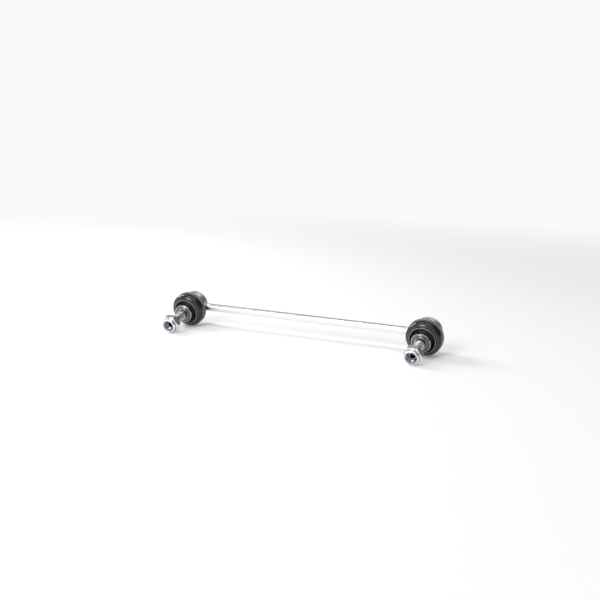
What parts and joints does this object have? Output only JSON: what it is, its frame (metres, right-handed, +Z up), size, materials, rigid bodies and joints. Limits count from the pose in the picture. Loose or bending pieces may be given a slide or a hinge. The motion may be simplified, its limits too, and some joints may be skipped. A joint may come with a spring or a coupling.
{
  "type": "stabilizer link",
  "caption": "Stabilizer link: a straight bar with a sealed ball joint at each end, each with a rubber boot, a flanged threaded stud and a self-locking hex nut.",
  "frame": {"origin": "on the surface it lies on, under the middle of its box", "axes": "+X along the bar, +Z up, studs towards -Y and drooping until boots and nuts touch the surface"},
  "size_m": [0.2964, 0.0648, 0.0366],
  "materials": {
    "bar_zinc": "bright zinc plate on drawn bar",
    "housing_zinc": "satin zinc plate",
    "weld_metal": "plated weld flash",
    "seat_plastic": "moulded bearing plastic",
    "ring_steel": "stamped steel",
    "ball_steel": "ground and polished, greased",
    "stud_zinc": "zinc plate, turned",
    "boot_rubber": "moulded rubber, slight sheen",
    "spring_wire": "black spring wire",
    "nut_zinc": "bright zinc plate",
    "insert_nylon": "moulded nylon"
  },
  "bodies": {
    "link": {"link_rod": "bar_zinc", "left_housing": "housing_zinc", "left_weld_bead": "weld_metal", "left_ball_seat": "seat_plastic", "left_closing_ring": "ring_steel", "left_boot": "boot_rubber", "left_clamp_ring": "spring_wire", "right_housing": "housing_zinc", "right_weld_bead": "weld_metal", "right_ball_seat": "seat_plastic", "right_closing_ring": "ring_steel", "right_boot": "boot_rubber", "right_clamp_ring": "spring_wire"},
    "left_ball": {"left_ball": "ball_steel"},
    "left_neck": {"left_neck_ring": "spring_wire"},
    "left_stud": {"left_stud": "stud_zinc"},
    "left_nut_insert": {"left_nut_insert": "insert_nylon"},
    "left_nut": {"left_nut": "nut_zinc"},
    "right_ball": {"right_ball": "ball_steel"},
    "right_neck": {"right_neck_ring": "spring_wire"},
    "right_stud": {"right_stud": "stud_zinc"},
    "right_nut_insert": {"right_nut_insert": "insert_nylon"},
    "right_nut": {"right_nut": "nut_zinc"}
  },
  "joints": [
    {"name": "left_tilt_up", "type": "hinge", "parent": "link", "child": "left_ball", "pos_m": [-0.13, 0.01993, 0.02042], "axis": [1, 0, 0], "range_deg": [-15, 15], "deforming": ["left_boot"]},
    {"name": "left_tilt_side", "type": "hinge", "parent": "left_ball", "child": "left_neck", "pos_m": [-0.13, 0.01993, 0.02042], "axis": [0, -0.2482, 0.9687], "range_deg": [-15, 15], "deforming": ["left_boot"]},
    {"name": "left_stud_turn", "type": "hinge", "parent": "left_neck", "child": "left_stud", "pos_m": [-0.13, 0.01993, 0.02042], "axis": [0, -0.9687, -0.2482], "continuous": true},
    {"name": "left_nut_travel", "type": "slide", "parent": "left_stud", "child": "left_nut_insert", "axis": [0, -0.9687, -0.2482], "range_m": [-0.0189, 0.04]},
    {"name": "left_nut_turn", "type": "hinge", "parent": "left_nut_insert", "child": "left_nut", "pos_m": [-0.13, 0.01993, 0.02042], "axis": [0, -0.9687, -0.2482], "range_deg": [-4537, 9601]},
    {"name": "right_tilt_up", "type": "hinge", "parent": "link", "child": "right_ball", "pos_m": [0.13, 0.01993, 0.02042], "axis": [1, 0, 0], "range_deg": [-15, 15], "deforming": ["right_boot"]},
    {"name": "right_tilt_side", "type": "hinge", "parent": "right_ball", "child": "right_neck", "pos_m": [0.13, 0.01993, 0.02042], "axis": [0, -0.2482, 0.9687], "range_deg": [-15, 15], "deforming": ["right_boot"]},
    {"name": "right_stud_turn", "type": "hinge", "parent": "right_neck", "child": "right_stud", "pos_m": [0.13, 0.01993, 0.02042], "axis": [0, -0.9687, -0.2482], "continuous": true},
    {"name": "right_nut_travel", "type": "slide", "parent": "right_stud", "child": "right_nut_insert", "axis": [0, -0.9687, -0.2482], "range_m": [-0.0189, 0.04]},
    {"name": "right_nut_turn", "type": "hinge", "parent": "right_nut_insert", "child": "right_nut", "pos_m": [0.13, 0.01993, 0.02042], "axis": [0, -0.9687, -0.2482], "range_deg": [-4537, 9601]}
  ],
  "couplings": [
    {"joint": "left_nut_turn", "follows": "left_nut_travel", "rad_per_m": 4188.8},
    {"joint": "right_nut_turn", "follows": "right_nut_travel", "rad_per_m": 4188.8}
  ]
}
